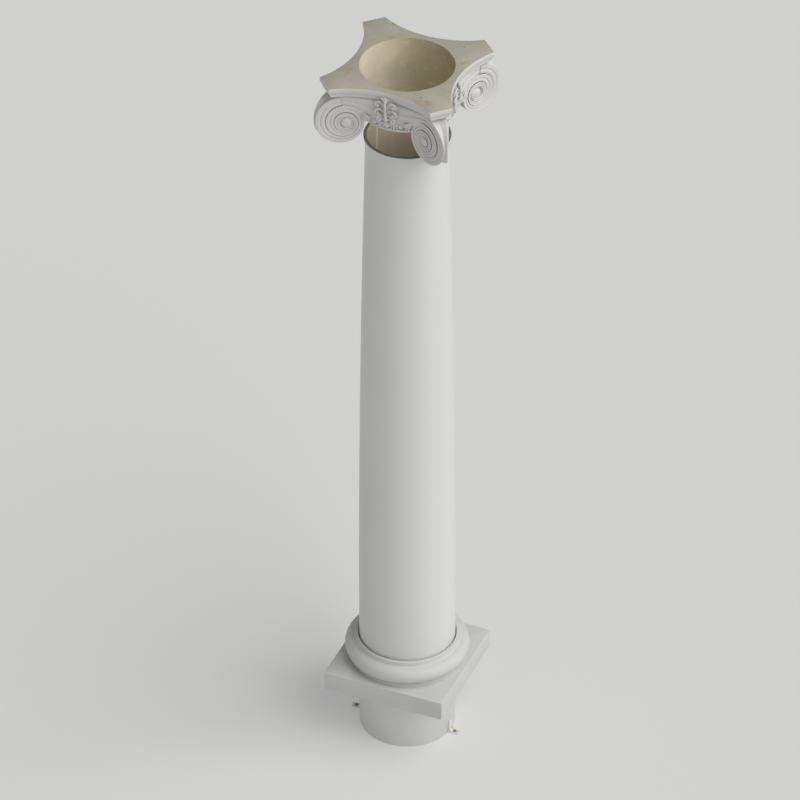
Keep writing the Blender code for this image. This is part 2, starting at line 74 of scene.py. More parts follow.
# Shaft
GAP = 0.0003                     # clearance between two pieces
NECK_RADIUS = 0.1215
SHAFT_WALL = 0.010
SHAFT_SOFT = 0.0008              # rounding of the shaft's edges
TAPER_START = 0.45               # the height where the taper starts
TAPER_POWER = 1.8
RIM_RADIUS = 0.1273
RIM_HEIGHT = 0.007

# Plinth and ring
RING_MOUTH = 0.0034
RING_SOFT = 0.0012
TORUS_RADIUS = 0.0270
TORUS_LIFT = 0.0402              # from the ring's underside to the torus's centre
TORUS_SPAN = (84.0, -66.0)       # degrees, from the listel down to the fillet
FILLET_REACH = 0.0295
FILLET_HEIGHT = 0.010
LISTEL_WIDTH = 0.0100
LISTEL_HEIGHT = 0.0130
PLINTH_EDGE = 0.0018
PLINTH_CORNER = 0.0030

# Capital: depths are measured down from its top, reaches out from the axis
CAPITAL_DEPTH = 0.138
BORE_RADIUS = 0.1378
BORE_SOFT = 0.0008
BORE_WALL = 0.004                # nothing carved outside comes nearer to the bore than this
PLAN_EASE = 0.2050               # beyond this reach the casting's edges are drawn in
PLAN_SHARE = 0.64
ABACUS_MIDDLE = 0.160
ABACUS_HORN = 0.2558
ABACUS_ARC = 0.287
ABACUS_THICKNESS = 0.0375
# Down the abacus's edge: (depth, inset)
ABACUS_LEVELS = ((0.0, 0.0009), (0.0003, 0.0003), (0.0010, 0.0), (0.0142, 0.0), (0.0150, 0.0006),
                 (0.0158, 0.0030), (0.0175, 0.0046), (0.0200, 0.0062), (0.0230, 0.0070), (0.0296, 0.0070),
                 (0.0302, 0.0076), (0.0306, 0.0110), (0.0345, 0.0112), (0.0352, 0.0120),
                 (ABACUS_THICKNESS, 0.0150))
DRUM_RADIUS = 0.1466
DRUM_FOOT = 0.0975               # where the egg moulding starts
BEAD_RADIUS = 0.0069
BEAD_REACH = BORE_RADIUS + 0.0026
# Down the swelling that carries the eggs: (reach, drop below the drum)
SWELLING = ((DRUM_RADIUS, 0.0), (0.1500, 0.0040), (0.1512, 0.0080), (0.1514, 0.0130), (0.1500, 0.0180))
WEB_HALF_WIDTH = 0.028
WEB_REACH = 0.205
WEB_DEPTH = 0.0676
WEB_SINK = 0.004                 # how far the block at a corner runs into abacus and drum
NECK_STRETCHES = ((-41.0, -13.0), (57.0, 165.0))
NECK_WALL = 0.0085
NECK_SEAT = 0.012
EGG_PITCH = 16.0                 # degrees
EGG_DEPTH = 0.1125
EGG_LEAN = 0.16                  # how far the eggs look down
EGG_REACH = 0.1498
EGG_SIZE = (0.0100, 0.0078, 0.0125)
DART_REACH = 0.1510
DART_SIZE = (0.0024, 0.0045, 0.0140)
SHELL_REACH = 0.1515
SHELL_SIZE = (0.0155, 0.0160)
SHELL_WIDTH = 0.0024
SHELL_SPAN = (-210.0, 240.0)     # where the shell's rim starts and how far round it goes, degrees

# Volutes
EYE_X, EYE_Y, EYE_DEPTH = 0.117, 0.1675, 0.1314
EYE_SIZE = (0.0155, 0.0062, 0.0155)
EYE_GROOVE = 0.0055              # extra depth of the groove at the outer side of the eye
EYE_GROOVE_TURN = 2.20
VOLUTE_SIZE = 0.0847
VOLUTE_TURN = math.radians(27.0)
VOLUTE_DECAY = 0.68
VOLUTE_DECAY_WITHIN = 0.60
VOLUTE_TURNS = 3
VOLUTE_RELIEF = 0.005
SPIRAL_SHIFT = (0.20, 0.08)      # how far the spiral's middle lies from the eye, in its own radii
VALLEY_SHARE = 0.94
VALLEY_HOLLOW = 0.16             # how far the edge between two volutes dips in
RIM_EDGE = 0.0014                # how far the rounding of a volute's rim runs back
# The carved band from its outer foot to the next turn: (place across it, depth behind the crown)
BAND = ((0.0, RIM_EDGE), (0.012, 0.0006), (0.030, 0.0001), (0.07, 0.0), (0.14, 0.0), (0.26, 0.0),
        (0.38, 0.0003), (0.43, 0.0010), (0.465, 0.0022), (0.495, 0.0027), (0.52, 0.0020), (0.56, 0.0009),
        (0.63, 0.0002), (0.72, 0.0002), (0.80, 0.0006), (0.86, 0.0013), (0.91, 0.0023), (0.95, 0.0032),
        (1.0, 0.0034))
CANALIS_FRONT = 0.1520
CANALIS_SAG = 0.0345
CANALIS_DROP = 0.003
CANALIS_BACK = 0.007
CANALIS_SKIRT = 0.016            # the plain field that closes the band down to the eggs
CANALIS_ROOT = 0.006

# Flower and leaves
FLOWER_DEPTH = 0.0593
FLOWER_INSET = 0.007             # from the abacus's edge back to the flower's ground
FLOWER_HALF = (0.0265, 0.040)
# The flower's raised ground: (how far it stands out, its share of the flower's size)
FLOWER_GROUND = ((-0.009, 0.90), (-0.003, 0.92), (0.0005, 0.84), (0.0035, 0.60), (0.0045, 0.25))
# One side's curls: start, heading, stride, turns, hand, belly, tip, how far out, how much it rises
CURLS = (((0.002, 0.010), 1.25, 0.0032, 0.95, -1, 0.0040, 0.0024, 0.006, 0.004),
         ((0.003, -0.006), 0.80, 0.0031, 0.95, -1, 0.0044, 0.0026, 0.006, 0.004),
         ((0.003, -0.020), 0.30, 0.0029, 0.95, -1, 0.0042, 0.0026, 0.005, 0.003),
         ((0.002, -0.030), -0.35, 0.0022, 0.85, 1, 0.0038, 0.0022, 0.004, 0.003))
CURL_FOOT = 0.0022
CURL_END = (0.0032, 0.0030, 0.0032)
# The leaves at a corner: (along the side, reach, depth) of their root, bud and tips
LEAF_ROOT = (0.0745, 0.1500, 0.0900)
LEAF_BUD = (0.066, 0.1430, 0.0990)
LEAF_BUD_SIZE = (0.0110, 0.0080, 0.0150)
LEAF_TIPS = ((0.047, 0.1545, 0.1010), (0.051, 0.1535, 0.1085), (0.057, 0.1520, 0.1155),
             (0.065, 0.1495, 0.1205))


# Mesh helpers

def skin(bm, rows, wrap=True, cap=False, slot=0):
    """Skins rows of points of equal length with quads; wrap closes each row on itself."""
    grid = [[bm.verts.new(point) for point in row] for row in rows]
    faces = []
    for upper, lower in zip(grid, grid[1:]):
        count = len(upper)
        for index in range(count if wrap else count - 1):
            after = (index + 1) % count
            faces.append(bm.faces.new((upper[index], upper[after], lower[after], lower[index])))
    if cap:
        faces += [bm.faces.new(grid[0]), bm.faces.new(grid[-1])]
    for face in faces:
        face.material_index = slot


def finish_mesh(name, bm, finishes, degrees):
    """Turns a bmesh into a smooth object whose edges over so many degrees stay sharp."""
    bmesh.ops.remove_doubles(bm, verts=bm.verts, dist=MERGE)
    bmesh.ops.recalc_face_normals(bm, faces=bm.faces)
    mesh = bpy.data.meshes.new(name)
    bm.to_mesh(mesh)
    bm.free()
    for finish in finishes:
        mesh.materials.append(finish)
    mesh.shade_smooth()
    mesh.set_sharp_from_angle(angle=math.radians(degrees))
    made = bpy.data.objects.new(name, mesh)
    bpy.context.scene.collection.objects.link(made)
    return made


def place_piece(made, node):
    """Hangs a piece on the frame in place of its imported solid."""
    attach(made, "root")
    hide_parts(node)


def circle(radius, height):
    points = []
    for step in range(ROUND):
        angle = 2 * math.pi * step / ROUND
        points.append((radius * math.cos(angle), radius * math.sin(angle), height))
    return points


def arc(centre, radius, start, end, steps):
    """Points round a centre, from one angle in degrees to another."""
    points = []
    for step in range(steps + 1):
        angle = math.radians(start + (end - start) * step / steps)
        points.append((centre[0] + radius * math.cos(angle), centre[1] + radius * math.sin(angle)))
    return points


def turned(bm, profile, slots):
    """Turns a closed profile of (radius, height); slots gives each stretch its finish."""
    closed = profile + [profile[0]]
    for start, end, slot in zip(closed, closed[1:], slots):
        skin(bm, [circle(*start), circle(*end)], slot=slot)


def ease(share):
    """A share from 0 to 1 that starts and ends gently."""
    return share * share * (3 - 2 * share)


# Materials

# The resin insides are painted lighter on one side and darker on the other: painted light and shade, not a
# change in the resin.
PAINTED_SHADE_ACROSS = (0.92, 0.39, 0.0)     # level direction from the side painted light to the side painted in shade
PAINTED_SHADE_SPAN = 0.125
SEAM_HIGHLIGHT_ACROSS = (0.276, 0.961, 0.0)    # level direction square to the seam lines, whose pale colour is partly a painted highlight
SEAM_HIGHLIGHT_EDGES = (0.0018, 0.0050)        # half width of a seam line, within and without its soft edge


def new_material(name):
    made = bpy.data.materials.new(name)
    made.use_nodes = True
    nodes = made.node_tree.nodes
    return made, nodes, made.node_tree.links, nodes["Principled BSDF"]


def noise_node(nodes, links, scale, detail=4.0, roughness=0.55, stretch=(1, 1, 1)):
    """Noise in the object's own metres, stretched where a surface was brushed or run."""
    where = nodes.new("ShaderNodeTexCoord")
    mapping = nodes.new("ShaderNodeMapping")
    mapping.inputs["Scale"].default_value = stretch
    made = nodes.new("ShaderNodeTexNoise")
    made.inputs["Scale"].default_value = scale
    made.inputs["Detail"].default_value = detail
    made.inputs["Roughness"].default_value = roughness
    links.new(where.outputs["Object"], mapping.inputs["Vector"])
    links.new(mapping.outputs["Vector"], made.inputs["Vector"])
    return made


def ramp_node(nodes, links, source, stops):
    """A colour ramp over a factor: stops are (place, colour)."""
    made = nodes.new("ShaderNodeValToRGB")
    ramp = made.color_ramp
    while len(ramp.elements) < len(stops):
        ramp.elements.new(0.5)
    for element, (place, colour) in zip(ramp.elements, stops):
        element.position = place
        element.color = (*colour, 1.0)
    links.new(source, made.inputs["Fac"])
    return made


def mix_node(nodes, links, factor, first, second, blend="MIX"):
    """Mixes two colours; a plain number is a fixed factor, a tuple a fixed colour."""
    made = nodes.new("ShaderNodeMix")
    made.data_type = "RGBA"
    made.blend_type = blend
    for socket, value in ((made.inputs[0], factor), (made.inputs[6], first), (made.inputs[7], second)):
        if isinstance(value, tuple):
            socket.default_value = (*value, 1.0)
        elif isinstance(value, float):
            socket.default_value = value
        else:
            links.new(value, socket)
    return made.outputs[2]


def add_bump(nodes, links, shader, height, distance, strength):
    bump = nodes.new("ShaderNodeBump")
    bump.inputs["Distance"].default_value = distance
    bump.inputs["Strength"].default_value = strength
    links.new(height, bump.inputs["Height"])
    links.new(bump.outputs["Normal"], shader.inputs["Normal"])


def painted(name, light, dark, roughness, grain, depth, blotch=6.0):
    """Sprayed paint: faint cloudy tone and a fine orange-peel surface."""
    made, nodes, links, shader = new_material(name)
    cloud = noise_node(nodes, links, blotch, 5.0)
    tone = ramp_node(nodes, links, cloud.outputs["Fac"], [(0.30, dark), (0.70, light)])
    links.new(tone.outputs["Color"], shader.inputs["Base Color"])
    shader.inputs["Roughness"].default_value = roughness
    peel = noise_node(nodes, links, grain, 3.0)
    add_bump(nodes, links, shader, peel.outputs["Fac"], depth, 0.5)
    return made


def bare_casting(name):
    """Unpainted composite: beige, with brown stains and small pits."""
    made, nodes, links, shader = new_material(name)
    cloud = noise_node(nodes, links, 9.0, 6.0, 0.6)
    base = ramp_node(nodes, links, cloud.outputs["Fac"], [
        (0.30, (0.38, 0.36, 0.295)), (0.52, (0.44, 0.415, 0.335)), (0.72, (0.49, 0.455, 0.36))])
    stain = noise_node(nodes, links, 22.0, 4.0, 0.7)
    stain_mask = ramp_node(nodes, links, stain.outputs["Fac"], [(0.58, (0, 0, 0)), (0.70, (1, 1, 1))])
    tinted = mix_node(nodes, links, stain_mask.outputs["Color"], base.outputs["Color"], (0.40, 0.31, 0.17))
    pits = nodes.new("ShaderNodeTexVoronoi")
    pits.inputs["Scale"].default_value = 120.0
    where = nodes.new("ShaderNodeTexCoord")
    links.new(where.outputs["Object"], pits.inputs["Vector"])
    pit_mask = ramp_node(nodes, links, pits.outputs["Distance"], [(0.10, (1, 1, 1)), (0.24, (0, 0, 0))])
    rare = noise_node(nodes, links, 14.0, 2.0)
    rare_mask = ramp_node(nodes, links, rare.outputs["Fac"], [(0.53, (0, 0, 0)), (0.60, (1, 1, 1))])
    pit = mix_node(nodes, links, 1.0, pit_mask.outputs["Color"], rare_mask.outputs["Color"], "MULTIPLY")
    colour = mix_node(nodes, links, pit, tinted, (0.15, 0.125, 0.08))
    links.new(colour, shader.inputs["Base Color"])
    shader.inputs["Roughness"].default_value = 0.75
    add_bump(nodes, links, shader, cloud.outputs["Fac"], 0.0015, 0.4)
    return made


def along_node(nodes, links, direction):
    """Metres from the axis along a level direction."""
    where = nodes.new("ShaderNodeTexCoord")
    made = nodes.new("ShaderNodeVectorMath")
    made.operation = "DOT_PRODUCT"
    made.inputs[1].default_value = direction
    links.new(where.outputs["Object"], made.inputs[0])
    return made.outputs["Value"]


def range_node(nodes, links, source, low, high, start=0.0, end=1.0):
    """Runs from start to end as the source runs from low to high."""
    made = nodes.new("ShaderNodeMapRange")
    made.inputs["From Min"].default_value = low
    made.inputs["From Max"].default_value = high
    made.inputs["To Min"].default_value = start
    made.inputs["To Max"].default_value = end
    links.new(source, made.inputs["Value"])
    return made.outputs["Result"]


def seam_and_highlight_mask(nodes, links):
    """Marks the two lines where the half shells were joined; their pale colour is partly a painted highlight.
    """
    size = nodes.new("ShaderNodeMath")
    size.operation = "ABSOLUTE"
    links.new(along_node(nodes, links, SEAM_HIGHLIGHT_ACROSS), size.inputs[0])
    return range_node(nodes, links, size.outputs["Value"], *SEAM_HIGHLIGHT_EDGES, 1.0, 0.0)


def resin_inside(name, pale, brown, painted_glow, roughness, streak, smears, seam_and_highlight):
    """Resin-rich inner surface with runs and pale smears; its colour runs from a painted lit side to a
    painted shaded side, its emission is painted light, and its pale seam lines are partly a painted
    highlight.
    """
    made, nodes, links, shader = new_material(name)
    # painted light and shade: the first colour on the lit side, the second on the shaded side
    side = range_node(nodes, links, along_node(nodes, links, PAINTED_SHADE_ACROSS), -PAINTED_SHADE_SPAN, PAINTED_SHADE_SPAN)
    base = mix_node(nodes, links, side, pale, brown)
    run = noise_node(nodes, links, 10.0, 6.0, 0.6, streak)
    shade = ramp_node(nodes, links, run.outputs["Fac"], [(0.30, (0.80, 0.78, 0.74)), (0.70, (1.0, 1.0, 1.0))])
    base = mix_node(nodes, links, 1.0, base, shade.outputs["Color"], "MULTIPLY")
    smear = noise_node(nodes, links, 22.0, 6.0, 0.7, (1.0, 1.0, 2.4))
    smear_mask = ramp_node(nodes, links, smear.outputs["Fac"],
                           [(0.54, (0, 0, 0)), (0.68, (smears, smears, smears))])
    colour = mix_node(nodes, links, smear_mask.outputs["Color"], base, (0.72, 0.70, 0.62))
    # pale seam lines: partly the joint, partly a painted highlight streak
    if seam_and_highlight:
        line = mix_node(nodes, links, seam_and_highlight, (0.0, 0.0, 0.0), seam_and_highlight_mask(nodes, links))
        colour = mix_node(nodes, links, line, colour, (0.86, 0.80, 0.64))
    links.new(colour, shader.inputs["Base Color"])
    # painted light: the surface gives off its own colour as light though it is no lamp
    links.new(colour, shader.inputs["Emission Color"])
    shader.inputs["Emission Strength"].default_value = painted_glow
    shader.inputs["Roughness"].default_value = roughness
    shader.inputs["Specular IOR Level"].default_value = 0.4
    add_bump(nodes, links, shader, smear.outputs["Fac"], 0.002, 0.35)
    return made


def plated(name, light, dark, roughness, metallic):
    """Plated or coated metal with a faint cloudy tone."""
    made, nodes, links, shader = new_material(name)
    cloud = noise_node(nodes, links, 160.0, 4.0, 0.6, (1.0, 3.0, 1.0))
    tone = ramp_node(nodes, links, cloud.outputs["Fac"], [(0.32, dark), (0.68, light)])
    links.new(tone.outputs["Color"], shader.inputs["Base Color"])
    shader.inputs["Roughness"].default_value = roughness
    shader.inputs["Metallic"].default_value = metallic
    add_bump(nodes, links, shader, cloud.outputs["Fac"], 0.0003, 0.4)
    return made


SHAFT_PAINT = painted("shaft_paint", (0.735, 0.74, 0.72), (0.715, 0.72, 0.70), roughness=0.45,
                      grain=420.0, depth=0.0004, blotch=3.0)
CAPITAL_PAINT = painted("capital_paint", (0.70, 0.69, 0.67), (0.66, 0.65, 0.63), roughness=0.62,
                        grain=260.0, depth=0.0008)
BASE_PAINT = painted("base_paint", (0.64, 0.64, 0.63), (0.60, 0.60, 0.59), roughness=0.60,
                     grain=300.0, depth=0.0006)
# The cut edges' dark olive is partly the laminate's own colour and partly painted shade for the capital's
# shadow on the rim.
SHADED_CUT_EDGE = painted("cut_edge_shaded", (0.20, 0.195, 0.125), (0.15, 0.145, 0.09), roughness=0.60,
                   grain=300.0, depth=0.0006, blotch=40.0)
BARE = bare_casting("bare_casting")
# The bore is painted pale on its lit side and brown on its shaded side.
BORE_RESIN = resin_inside("bore_resin", (0.76, 0.71, 0.55), (0.45, 0.38, 0.22), painted_glow=0.0,
                          roughness=0.38, streak=(1.0, 1.0, 0.6), smears=0.5, seam_and_highlight=0.0)
# The shaft's inside is kept light and given emission as painted light for the light that reaches into the
# shaft; its pale seam lines are partly a painted highlight.
SHAFT_RESIN = resin_inside("shaft_resin", (0.58, 0.53, 0.41), (0.50, 0.45, 0.33), painted_glow=0.07,
                           roughness=0.28, streak=(2.0, 2.0, 0.2), smears=0.2, seam_and_highlight=0.6)
ZINC = plated("yellow_zinc", (0.90, 0.87, 0.75), (0.78, 0.73, 0.56), 0.45, 0.35)
SCREW_BLUE = plated("blue_screw", (0.16, 0.40, 0.64), (0.11, 0.30, 0.52), 0.35, 0.2)


# Shaft

def shaft_radius(height):
    """The shaft's outer radius at a height."""
    rise = max(0.0, height - TAPER_START) / (SHAFT_TOP - TAPER_START)
    return FOOT_RADIUS - (FOOT_RADIUS - NECK_RADIUS) * rise ** TAPER_POWER


def make_shaft():
    """The tapered shell: paint (0) outside, cut edges (1) at both ends and resin (2) inside."""
    lip_foot = SHAFT_TOP - RIM_HEIGHT
    tapered = lip_foot - TAPER_START
    profile = [(RIM_RADIUS - SHAFT_SOFT, SHAFT_TOP), (RIM_RADIUS, SHAFT_TOP - SHAFT_SOFT),
               (RIM_RADIUS, lip_foot), (shaft_radius(lip_foot), lip_foot - (RIM_RADIUS - NECK_RADIUS))]
    for step in range(1, TAPER_STEPS):
        height = TAPER_START + tapered * (1 - step / TAPER_STEPS)
        profile.append((shaft_radius(height), height))
    profile += [(FOOT_RADIUS, TAPER_START), (FOOT_RADIUS, SHAFT_SOFT), (FOOT_RADIUS - SHAFT_SOFT, 0.0)]
    slots = [1] + [0] * (len(profile) - 2) + [1]
    profile.append((FOOT_RADIUS - SHAFT_WALL, 0.0))
    for step in range(INNER_STEPS + 1):
        height = TAPER_START + tapered * step / INNER_STEPS
        profile.append((shaft_radius(height) - SHAFT_WALL, height))
    profile.append((RIM_RADIUS - SHAFT_WALL, SHAFT_TOP))
    slots += [2] * (INNER_STEPS + 2) + [1]
    bm = bmesh.new()
    turned(bm, profile, slots)
    shaft = finish_mesh("shaft_shell", bm, [SHAFT_PAINT, SHADED_CUT_EDGE, SHAFT_RESIN], 50.0)
    place_piece(shaft, "shaft")


# Base

def make_base_ring():
    """Listel, torus and the fillet it stands on, turned."""
    bore = FOOT_RADIUS + GAP
    mouth = FOOT_RADIUS + RING_MOUTH
    listel = mouth + LISTEL_WIDTH
    fillet = FOOT_RADIUS + FILLET_REACH
    soft = RING_SOFT
    centre = (RING_REACH - TORUS_RADIUS, RING_BOTTOM + TORUS_LIFT)
    step_foot = RING_TOP - LISTEL_HEIGHT
    profile = [(mouth + soft, RING_TOP), (listel - soft, RING_TOP),
               (listel - soft * 0.3, RING_TOP - soft * 0.3), (listel, RING_TOP - soft),
               (listel, step_foot + soft), (listel + soft * 0.4, step_foot)]
    profile += arc(centre, TORUS_RADIUS, *TORUS_SPAN, 40)
    profile += [(fillet + soft, RING_BOTTOM + TORUS_LIFT - TORUS_RADIUS),
                (fillet, RING_BOTTOM + FILLET_HEIGHT), (fillet, RING_BOTTOM + soft / 2),
                (fillet - soft / 2, RING_BOTTOM)]
    profile += [(bore, RING_BOTTOM), (bore, RING_TOP - 4 * RING_MOUTH), (mouth, RING_TOP - soft)]
    bm = bmesh.new()
    turned(bm, profile, [0] * len(profile))
    ring = finish_mesh("base_ring_cast", bm, [BASE_PAINT], 34.0)
    place_piece(ring, "base_ring")


def square_outline(half, height):
    """A square with rounded corners, as points at even angles from the axis."""
    points = []
    inner = half - PLINTH_CORNER
    for step in range(ROUND):
        angle = 2 * math.pi * step / ROUND
        ray = Vector((math.cos(angle), math.sin(angle)))
        spot = ray * (half / max(abs(ray.x), abs(ray.y)))
        if abs(spot.x) > inner and abs(spot.y) > inner:
            pivot = Vector((math.copysign(inner, spot.x), math.copysign(inner, spot.y)))
            spot = pivot + (spot - pivot).normalized() * PLINTH_CORNER
        points.append((spot.x, spot.y, height))
    return points


def make_plinth():
    """The square slab with soft edges."""
    bore = FOOT_RADIUS + GAP
    slopes = [share * math.pi / 2 for share in (0.0, 0.3, 0.7, 1.0)]
    rows = [circle(bore, PLINTH_BOTTOM)]
    for slope in slopes:
        rows.append(square_outline(PLINTH_HALF - PLINTH_EDGE * (1 - math.sin(slope)),
                                   PLINTH_BOTTOM + PLINTH_EDGE * (1 - math.cos(slope))))
    for slope in slopes:
        rows.append(square_outline(PLINTH_HALF - PLINTH_EDGE * (1 - math.cos(slope)),
                                   PLINTH_TOP - PLINTH_EDGE * (1 - math.sin(slope))))
    rows += [circle(bore, PLINTH_TOP), circle(bore, PLINTH_BOTTOM)]
    bm = bmesh.new()
    skin(bm, rows)
    plinth = finish_mesh("plinth_cast", bm, [BASE_PAINT], 32.0)
    place_piece(plinth, "plinth")


# Capital

def quarter_spin(turn):
    """The turn from the front side to another, in quarters."""
    return Matrix.Rotation(math.radians(90.0 * turn), 3, "Z")


def quarter(points, turn):
    """Points turned by so many quarters, from the front side to another."""
    spin = quarter_spin(turn)
    return [spin @ Vector(point) for point in points]


def abacus_outline(inset, depth):
    """The four hollow sides and four cut horns, moved in by inset, as one ring."""
    centre = ABACUS_MIDDLE + ABACUS_ARC
    radius = ABACUS_ARC + inset
    reach = math.sqrt(2) * (ABACUS_HORN - inset) - centre
    limit = math.pi / 4 + math.asin(reach / (math.sqrt(2) * radius))
    side = []
    for step in range(SIDE + 1):
        angle = limit * (2 * step / SIDE - 1)
        side.append((radius * math.sin(angle), radius * math.cos(angle) - centre, CAPITAL_TOP - depth))
    ring = []
    for turn in range(4):
        ring += quarter(side, turn)
    return ring


def bore_ring(outline, radius, depth):
    """A circle whose points lie inward of the outline's own points."""
    centre = Vector((0, 0, CAPITAL_TOP - depth))
    return [Vector((point.x, point.y, 0.0)).normalized() * radius + centre for point in outline]


def add_abacus(bm):
    """The abacus with its fascia and steps, and the drum under it, round the bore."""
    rows = [abacus_outline(inset, depth) for depth, inset in ABACUS_LEVELS]
    drum = [bore_ring(rows[0], DRUM_RADIUS, depth) for depth in (ABACUS_THICKNESS, DRUM_FOOT)]
    inside = [bore_ring(rows[0], BORE_RADIUS, DRUM_FOOT), bore_ring(rows[0], BORE_RADIUS, 0.0010),
              bore_ring(rows[0], BORE_RADIUS + 0.0006, 0.0)]
    skin(bm, [inside[-1], rows[0]], slot=1)
    skin(bm, rows + drum + inside[:1], slot=0)
    skin(bm, inside, slot=2)


def add_corner_web(bm, turn):
    """The block that ties the two volutes of a corner to the abacus and the drum."""
    spin = Matrix.Rotation(math.radians(90.0 * turn - 45.0), 3, "Z")
    root = DRUM_RADIUS - WEB_SINK
    rows = []
    for depth in (ABACUS_THICKNESS - WEB_SINK, WEB_DEPTH):
        row = []
        for along, hand in ((root, -1), (WEB_REACH, -1), (WEB_REACH, 1), (root, 1)):
            row.append(spin @ Vector((along, hand * WEB_HALF_WIDTH, CAPITAL_TOP - depth)))
        rows.append(row)
    skin(bm, rows, cap=True)


def add_echinus(bm):
    """The swelling that carries the eggs, and the bead under it."""
    under = CAPITAL_TOP - CAPITAL_DEPTH
    join = CAPITAL_TOP - DRUM_FOOT
    profile = [(BORE_RADIUS, join)] + [(reach, join - drop) for reach, drop in SWELLING]
    profile += [(0.1474, under + 2.7 * BEAD_RADIUS), (0.1456, under + 2.1 * BEAD_RADIUS)]
    profile += arc((BEAD_REACH, under + BEAD_RADIUS), BEAD_RADIUS, 72.0, -80.0, 12)
    profile += [(BEAD_REACH, under), (BORE_RADIUS + BORE_SOFT, under), (BORE_RADIUS, under + BORE_SOFT)]
    slots = [0] * (len(profile) - 2) + [2, 2]
    turned(bm, profile, slots)


def add_blob(bm, centre, axes, radii, segments=24, rows=16):
    """An ellipsoid with given axes, for eggs, buds and curled tips."""
    made = bmesh.ops.create_uvsphere(bm, u_segments=segments, v_segments=rows, radius=1.0)
    basis = Matrix([axis * radius for axis, radius in zip(axes, radii)]).transposed()
    for vert in made["verts"]:
        vert.co = basis @ vert.co + centre


def add_rope(bm, spine, widths, normal, flat, sides=10):
    """A tapered leaf or tube along a spine that lies in a face; flat is its thickness share."""
    rows = []
    count = len(spine)
    for index, point in enumerate(spine):
        before = spine[max(0, index - 1)]
        after = spine[min(count - 1, index + 1)]
        along = (after - before).normalized()
        across = normal.cross(along).normalized()
        width = widths[index]
        ring = []
        for side in range(sides):
            angle = 2 * math.pi * side / sides
            ring.append(point + across * (width * math.cos(angle))
                        + normal * (width * flat * math.sin(angle)))
        rows.append(ring)
    skin(bm, rows, cap=True)


def add_eggs(bm):
    """Eggs in their shells with darts between, three to a side."""
    height = CAPITAL_TOP - EGG_DEPTH
    up = Vector((0, 0, 1))
    for side in range(4):
        for half_step in range(-3, 4):
            angle = math.radians(90.0 * side - 90.0 + EGG_PITCH * half_step / 2)
            out = Vector((math.cos(angle), math.sin(angle), 0.0))
            across = up.cross(out)
            lean = (out - up * EGG_LEAN).normalized()
            tall = across.cross(lean) * -1
            if half_step % 2:
                spot = out * DART_REACH + up * (height - 0.002)
                add_blob(bm, spot, (across, lean, tall), DART_SIZE, segments=12, rows=12)
                continue
            spot = out * EGG_REACH + up * (height + 0.001)
            add_blob(bm, spot, (across, lean, tall), EGG_SIZE)
            shell = []
            for step in range(SHELL_STEPS + 1):
                turn = math.radians(SHELL_SPAN[0] + SHELL_SPAN[1] * step / SHELL_STEPS)
                shell.append(out * SHELL_REACH + up * height + across * (SHELL_SIZE[0] * math.cos(turn))
                             + tall * (SHELL_SIZE[1] * math.sin(turn)) - out * 0.002 * abs(math.cos(turn)))
            add_rope(bm, shell, [SHELL_WIDTH] * len(shell), lean, 1.0, 8)


def spiral_radius(turn):
    """The spiral's radius after so many turns; it closes faster after the first."""
    return VOLUTE_SIZE * VOLUTE_DECAY ** min(turn, 1.0) * VOLUTE_DECAY_WITHIN ** max(turn - 1.0, 0.0)


def spiral_point(turn, across=0.0):
    """(outward, up) from the eye after so many turns; across runs over the band, 0 to 1."""
    radius = spiral_radius(turn) * (1 - across) + spiral_radius(turn + 1) * across
    angle = 2 * math.pi * turn
    return radius * (math.sin(angle) + SPIRAL_SHIFT[0]), radius * (math.cos(angle) + SPIRAL_SHIFT[1])


# A volute's face, seen square on: its eye and the level directions along it and behind it
OUTWARD = Vector((math.cos(VOLUTE_TURN), -math.sin(VOLUTE_TURN), 0.0))
INWARD = Vector((math.sin(VOLUTE_TURN), math.cos(VOLUTE_TURN), 0.0))
EYE = Vector((EYE_X, -EYE_Y, CAPITAL_TOP - EYE_DEPTH))


def on_face(along, up, behind):
    """A point given from the eye of the front side's right volute."""
    return EYE + OUTWARD * along + INWARD * behind + Vector((0.0, 0.0, up))


def band_row(turns):
    """The carved band's section after so many turns; it runs out flat at the eye."""
    row = []
    fade = min(1.0, max(0.0, (VOLUTE_TURNS - turns) / 0.30))
    near_eye = max(0.0, 1 - ((turns - EYE_GROOVE_TURN) / 0.33) ** 2)
    for across, depth in BAND:
        along, up = spiral_point(turns, across)
        sunk = EYE_GROOVE * near_eye * max(0.0, (across - 0.80) / 0.20)
        row.append(on_face(along, up, depth * fade + VOLUTE_RELIEF * (1 - fade) + sunk))
    return row


def across_corner(point):
    """Mirrors a point to the other volute of its corner."""
    return Vector((-point.y, -point.x, point.z))


def on_diagonal(point):
    """Slides a point back, square to its volute's face, to the corner's middle plane."""
    back = -(point.x + point.y) / (math.sin(VOLUTE_TURN) + math.cos(VOLUTE_TURN))
    return point + INWARD * back


def clear_of_bore(point):
    """Moves a point straight out from the axis until it leaves the bore its wall."""
    reach = math.hypot(point.x, point.y)
    if reach >= BORE_RADIUS + BORE_WALL:
        return point
    share = (BORE_RADIUS + BORE_WALL) / reach
    return Vector((point.x * share, point.y * share, point.z))


